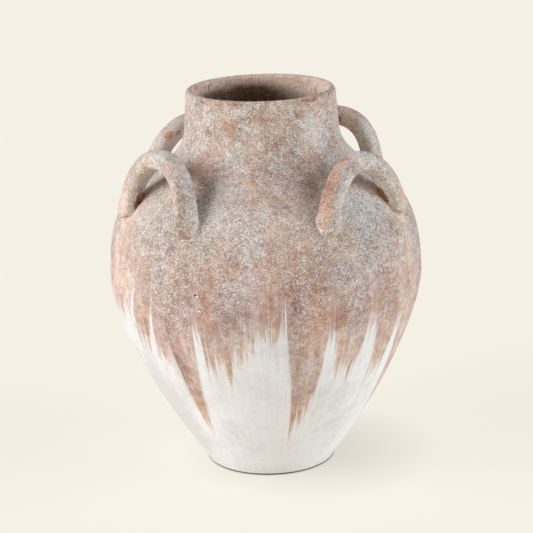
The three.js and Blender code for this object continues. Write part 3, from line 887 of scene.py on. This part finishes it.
def handlePath(handle):  # the middle line of the arch, with the share of the strap's size at each point
    halfSpan = strap["span"] * handle["span"] / 2
    footReach = math.sqrt(radiusAt(outside, strap["footHeight"]) ** 2 - halfSpan ** 2)
    angle = np.pi * (np.linspace(0, 1, strap["pathSteps"]) - 0.5)
    across = np.sign(np.sin(angle)) * np.abs(np.sin(angle)) ** (2 / handle["squareness"])
    up = np.clip(np.cos(angle), 0, 1) ** (2 / handle["squareness"])
    facing = math.radians(handle["azimuth"])
    sideways = np.array([-math.sin(facing), math.cos(facing), 0])
    outwards = np.array([math.cos(facing), math.sin(facing), 0])
    reach = footReach + (strap["crownReach"] * handle["reach"] - footReach) * up
    points = (halfSpan * across[:, None] * sideways + reach[:, None] * outwards
              + (strap["footHeight"] + strap["rise"] * handle["rise"] * up)[:, None] * [0, 0, 1])
    run = np.linspace(0, strap["runIn"], strap["toeSteps"])
    bend = math.radians(strap["toeBend"]) * smoothStep(run, 0, strap["toeLength"])
    inwards = np.cumsum(np.sin(bend)) * run[1]
    down = np.cumsum(np.cos(bend)) * run[1]
    toes = []
    for foot in (points[0], points[-1]):
        towardsAxis = -foot * [1, 1, 0] / math.hypot(foot[0], foot[1])
        toes.append(foot + inwards[:, None] * towardsAxis - down[:, None] * [0, 0, 1])
    whole = np.concatenate([toes[0][::-1], points, toes[1]])
    length = runAlong(whole)
    wanted = np.linspace(0, length[-1], strap["rings"])
    path = np.stack([np.interp(wanted, length, whole[:, i]) for i in range(3)], 1)
    toFoot = np.minimum(wanted, length[-1] - wanted) - strap["runIn"]
    share = 1 + (strap["footSpread"] - 1) * (1 - smoothStep(toFoot, 0, strap["footSpreadLength"]))
    share[[0, -1]] = 0          # the ends close to a point inside the wall
    top = strap["pathSteps"] // 2
    crown = np.array([0, 0, points[top][2] - points[0][2]]) + (reach[top] - footReach) * outwards
    outOfPlane = np.cross(sideways, crown / np.linalg.norm(crown))
    return path, share, outOfPlane


def strapSection():
    angle = np.linspace(0, math.tau, strap["sides"], endpoint=False)
    bulge = 2 / strap["squareness"]
    return np.stack([np.sign(np.cos(angle)) * np.abs(np.cos(angle)) ** bulge * strap["width"] / 2,
                     np.sign(np.sin(angle)) * np.abs(np.sin(angle)) ** bulge * strap["thickness"] / 2,
                     0 * angle], 1)


def buildStrapTree():  # sweeps a section of points along a path of points
    tree = newTree("rolledStrap", {
        "Object": ("Section",), "Int": ("Rings", "Sides"), "Vector": ("Out Of Plane",),
        "Float": ("Lumps", "Lump Size", "Seed"), "Material": ("Material",)})
    add = partial(addNode, tree)
    given = add("NodeGroupInput").outputs
    section = add("GeometryNodeObjectInfo", {"Object": given["Section"]}).outputs["Geometry"]
    columns = add("FunctionNodeIntegerMath", (given["Sides"], 1), "ADD")
    grid = add("GeometryNodeMeshGrid", {"Vertices X": given["Rings"], "Vertices Y": columns})
    index = add("GeometryNodeInputIndex")
    step = add("FunctionNodeIntegerMath", (index, columns), "MODULO")
    side = add("FunctionNodeIntegerMath", (step, given["Sides"]), "MODULO")
    ring = add("FunctionNodeIntegerMath", (index, columns), "DIVIDE_FLOOR")
    before = add("FunctionNodeIntegerMath", (ring, 1), "SUBTRACT")
    after = add("FunctionNodeIntegerMath", (ring, 1), "ADD")
    place = add("GeometryNodeInputPosition")
    shareHere = add("GeometryNodeInputNamedAttribute", {"Name": "share"}, data_type="FLOAT")
    found = {}
    for key, source, value, at, kind in (
            ("here", given["Geometry"], place, ring, "FLOAT_VECTOR"),
            ("before", given["Geometry"], place, before, "FLOAT_VECTOR"),
            ("after", given["Geometry"], place, after, "FLOAT_VECTOR"),
            ("share", given["Geometry"], shareHere, ring, "FLOAT"),
            ("point", section, place, side, "FLOAT_VECTOR")):
        found[key] = add("GeometryNodeSampleIndex", {"Geometry": source, "Value": value, "Index": at},
                         data_type=kind, clamp=True)
    part = add("ShaderNodeSeparateXYZ", (found["point"],)).outputs
    run = add("ShaderNodeVectorMath", (found["after"], found["before"]), "SUBTRACT")
    tangent = add("ShaderNodeVectorMath", (run,), "NORMALIZE")
    inPlane = add("ShaderNodeVectorMath", (given["Out Of Plane"], tangent), "CROSS_PRODUCT")
    wide = add("ShaderNodeVectorMath", {0: given["Out Of Plane"], "Scale": part["X"]}, "SCALE")
    thick = add("ShaderNodeVectorMath", {0: inPlane, "Scale": part["Y"]}, "SCALE")
    spoke = add("ShaderNodeVectorMath", (wide, thick), "ADD")
    sized = add("ShaderNodeVectorMath", {0: spoke, "Scale": found["share"]}, "SCALE")
    spot = add("ShaderNodeVectorMath", (found["here"], sized), "ADD")
    swept = add("GeometryNodeSetPosition", {"Geometry": grid, "Position": spot})
    closed = add("GeometryNodeMergeByDistance", {"Geometry": swept, "Distance": turned["weld"]})
    scale = add("ShaderNodeMath", (1.0, given["Lump Size"]), "DIVIDE")
    lump = addWander(tree, place, scale, given["Lumps"], given["Seed"], 2.0)
    normal = add("GeometryNodeInputNormal")
    offset = add("ShaderNodeVectorMath", {0: normal, "Scale": lump}, "SCALE")
    kneaded = add("GeometryNodeSetPosition", {"Geometry": closed, "Offset": offset})
    finishTree(tree, kneaded, given["Material"])
    return tree


def luteOn(piece, path, form):  # smooths the feet into the shoulder and tucks their ends into the wall
    co = verticesOf(piece)
    nearest = [form.find_nearest(Vector(p)) for p in co]
    spot = np.array([n[0] for n in nearest])
    normal = np.array([n[1] for n in nearest])
    proud = np.einsum("ij,ij->i", co - spot, normal)
    toPath = co[:, None, :] - path[None, ::4, :]
    centre = path[::4][np.argmin(np.einsum("ijk,ijk->ij", toPath, toPath), axis=1)]
    spoke = co - centre
    spoke -= np.einsum("ij,ij->i", spoke, normal)[:, None] * normal
    spoke /= np.maximum(np.linalg.norm(spoke, axis=1), 1e-6)[:, None]
    reach = strap["fillet"]
    left = reach - np.clip(proud, 0, reach)
    push = reach - np.sqrt(np.maximum(reach ** 2 - left ** 2, 0))
    push *= smoothStep(proud, *strap["tuck"])
    sunk = np.minimum(proud + strap["buried"], 0)
    moveVertices(piece, co + push[:, None] * spoke - sunk[:, None] * normal)
    return proud


def outerSkin(piece):  # a search tree over the faces that show outside
    co = verticesOf(piece)
    faces = []
    for polygon in piece.data.polygons:
        centre = co[list(polygon.vertices)].mean(0)
        if np.hypot(centre[0], centre[1]) > radiusAt(outside, centre[2]) - jar["wall"] / 3:
            faces.append(list(polygon.vertices))
    return BVHTree.FromPolygons([tuple(p) for p in co], faces)


def buildHandle(name, handle, material, section, form):
    path, share, outOfPlane = handlePath(handle)
    piece = runTree(strapTree, pointMesh(name + "_clay", path, {"share": share}), {
        "Section": section, "Rings": strap["rings"], "Sides": strap["sides"],
        "Out Of Plane": list(outOfPlane), "Lumps": strap["lumps"], "Lump Size": strap["lumpSize"],
        "Seed": strap["seed"] + handle["azimuth"], "Material": material})
    co = verticesOf(piece)
    normal = np.zeros(co.size, np.float32)
    piece.data.vertices.foreach_get("normal", normal)
    places = [(along, around, radius * mm / strap["span"], radius * strap["padTurn"])
              for along, around, radius, lift in handle["pads"]]
    for pad, pressed in zip(handle["pads"], handleMarks(co, path, outOfPlane, places)):
        co += pad[3] * mm * pressed[:, None] * normal.reshape(-1, 3)
    moveVertices(piece, co)
    proud = luteOn(piece, path, form)
    shares = handleMarks(verticesOf(piece), path, outOfPlane, handle["wearAndShading"])
    paintMarks(piece, proud, [(near, place[4:]) for near, place in zip(shares, handle["wearAndShading"])])
    return piece


# The camera of the picture
photoView = {
    "azimuth": -45,             # where the camera stands, in degrees from +X
    "elevation": 16.64,
    "distance": 1.944,
    "roll": -1.75,
    "lens": 124.8,
    "sensor": 36,
    "aimHeight": 208.4 * mm,
    "aimSide": 0.6 * mm,
}


def directionTo(azimuth, elevation):  # in radians
    return Vector((math.cos(elevation) * math.cos(azimuth), math.cos(elevation) * math.sin(azimuth),
                   math.sin(elevation)))


def placeCamera():
    azimuth, elevation, roll = (math.radians(photoView[k]) for k in ("azimuth", "elevation", "roll"))
    back = directionTo(azimuth, elevation)
    right = Vector((-math.sin(azimuth), math.cos(azimuth), 0))
    up = back.cross(right)
    data = bpy.data.cameras.new("photoCamera")
    data.lens = photoView["lens"]
    data.sensor_width = photoView["sensor"]
    data.clip_end = 100
    camera = addObject("photoCamera", data)
    turnedRight = math.cos(roll) * right + math.sin(roll) * up
    turnedUp = math.cos(roll) * up - math.sin(roll) * right
    stand = (Vector((0, 0, photoView["aimHeight"])) + photoView["aimSide"] * right
             + photoView["distance"] * back)
    turn = Matrix((turnedRight, turnedUp, back)).transposed().to_4x4()
    camera.matrix_world = Matrix.Translation(stand) @ turn
    bpy.context.scene.camera = camera


# Soft studio light: two large softboxes out to the sides, the left one stronger, and a table lit from below,
# with a painted shadow in its glow round the jar
studio = {
    "surround": "#fffaf3",
    "wallTop": (0.1, 0.4),      # sines of the heights where the walls' glow starts and ends its fall
    "wallGlow": 0.69,           # the pale walls, up to about 10 degrees above the floor
    "ceilingGlow": 0.1,
    "lights": {
        "keySoftbox": {"azimuth": -118, "elevation": 25, "size": 40, "strength": 0.93, "colour": "#f5f9ff"},
        "fillSoftbox": {"azimuth": 32, "elevation": 23, "size": 36, "strength": 0.67, "colour": "#e5f2ff"},
    },
    "floor": "#f5f0e4",         # the tone that the table has in the picture
    "floorDiffuse": 0.15,       # share of that tone that its paint scatters back, the rest shines through
    "floorShine": (0.65, 0.895),  # glow near the jar, dimmed there as a painted shadow, and farther off
    # centre and reach of that painted shadow
    "paintedShadowCentre": (30 * mm, 30 * mm, 0),
    "paintedShadowReach": (20 * mm, 140 * mm),
    "paintedContactShadow": (65 * mm, 69 * mm),  # a painted contact shadow: the table gives no glow right under the foot
    "floorRadius": 12,
}


def lightStudio():
    world = bpy.data.worlds.new("studio")
    world.use_nodes = True
    tree = world.node_tree
    surround = tree.nodes["Background"]
    surround.inputs["Color"].default_value = linear(studio["surround"])
    direction = addNode(tree, "ShaderNodeTexCoord").outputs["Generated"]
    rise = addNode(tree, "ShaderNodeSeparateXYZ", (direction,)).outputs["Z"]
    glow = addNode(tree, "ShaderNodeMapRange", (rise, *studio["wallTop"], studio["wallGlow"],
                                                studio["ceilingGlow"]))
    tree.links.new(glow.outputs[0], surround.inputs["Strength"])
    bpy.context.scene.world = world
    for name, light in studio["lights"].items():
        data = bpy.data.lights.new(name, "SUN")
        data.energy = light["strength"] * math.pi
        data.angle = math.radians(light["size"])
        data.color = linear(light["colour"])[:3]
        towards = directionTo(math.radians(light["azimuth"]), math.radians(light["elevation"]))
        addObject(name, data).rotation_euler = towards.to_track_quat("Z", "Y").to_euler()


def layFloor():
    radius = studio["floorRadius"]
    mesh = bpy.data.meshes.new("floor")
    mesh.from_pydata([(-radius, -radius, 0), (radius, -radius, 0), (radius, radius, 0), (-radius, radius, 0)],
                     [], [(0, 1, 2, 3)])
    floor = addObject("floor", mesh)
    material = bpy.data.materials.new("litAcrylicTable")   # lit from below, so its shadows are faint; round the jar its glow is dimmed as a painted shadow
    material.use_nodes = True
    tree = material.node_tree
    shader = tree.nodes["Principled BSDF"]
    tone = linear(studio["floor"])
    shader.inputs["Base Color"].default_value = [c * studio["floorDiffuse"] for c in tone[:3]] + [1.0]
    shader.inputs["Emission Color"].default_value = tone
    shader.inputs["Roughness"].default_value = 1.0
    shader.inputs["Specular IOR Level"].default_value = 0.0
    place = addNode(tree, "ShaderNodeTexCoord").outputs["Object"]
    # painted shadow in the glow: weaker near the jar, none right under the foot
    away = addNode(tree, "ShaderNodeVectorMath", (place, studio["paintedShadowCentre"]), "DISTANCE")
    shadowedGlow = addNode(tree, "ShaderNodeMapRange", (away.outputs["Value"], *studio["paintedShadowReach"],
                                                    *studio["floorShine"]))
    fromAxis = addNode(tree, "ShaderNodeVectorMath", (place,), "LENGTH").outputs["Value"]
    shine = addNode(tree, "ShaderNodeMapRange", (fromAxis, *studio["paintedContactShadow"], 0.0, shadowedGlow))
    tree.links.new(shine.outputs[0], shader.inputs["Emission Strength"])
    mesh.materials.append(material)


bpy.context.scene.view_settings.view_transform = "Standard"
placeCamera()
lightStudio()
layFloor()
print("studio ready")

limeWash = buildWash("brushedLimewash")
mottledWash = buildWash("mottledLimewash", pits, crumbs)
turnedTree = buildTurnedTree()
sections = {
    "base_slab": (slabSection(), limeWash, "lime_wash"),
    "lower_wall": (wallSection(jar["slabTop"], jar["bellyHeight"]), limeWash, "lime_wash"),
    "shoulder_wall": (wallSection(jar["bellyHeight"], jar["neckFootHeight"]), mottledWash, "mottled_wash"),
    "neck_collar": (neckSection(), mottledWash, "mottled_wash"),
}
thrown = {}
for node, (profile, material, slot) in sections.items():
    piece = turnedPiece("thrown_" + node, profile, material)
    paintMarks(piece)
    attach(piece, "root")
    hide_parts(node)
    thrown[node] = piece
    print(node, "turned,", len(piece.data.polygons), "faces")

strapTree = buildStrapTree()
sectionPoints = pointMesh("strapSection", strapSection())
shoulderSkin = outerSkin(thrown["shoulder_wall"])
for name, handle in handles.items():
    piece = buildHandle(name, handle, mottledWash, sectionPoints, shoulderSkin)
    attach(piece, "root")
    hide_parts(name)
    print(name, "luted on,", len(piece.data.polygons), "faces")
bpy.data.objects.remove(sectionPoints)
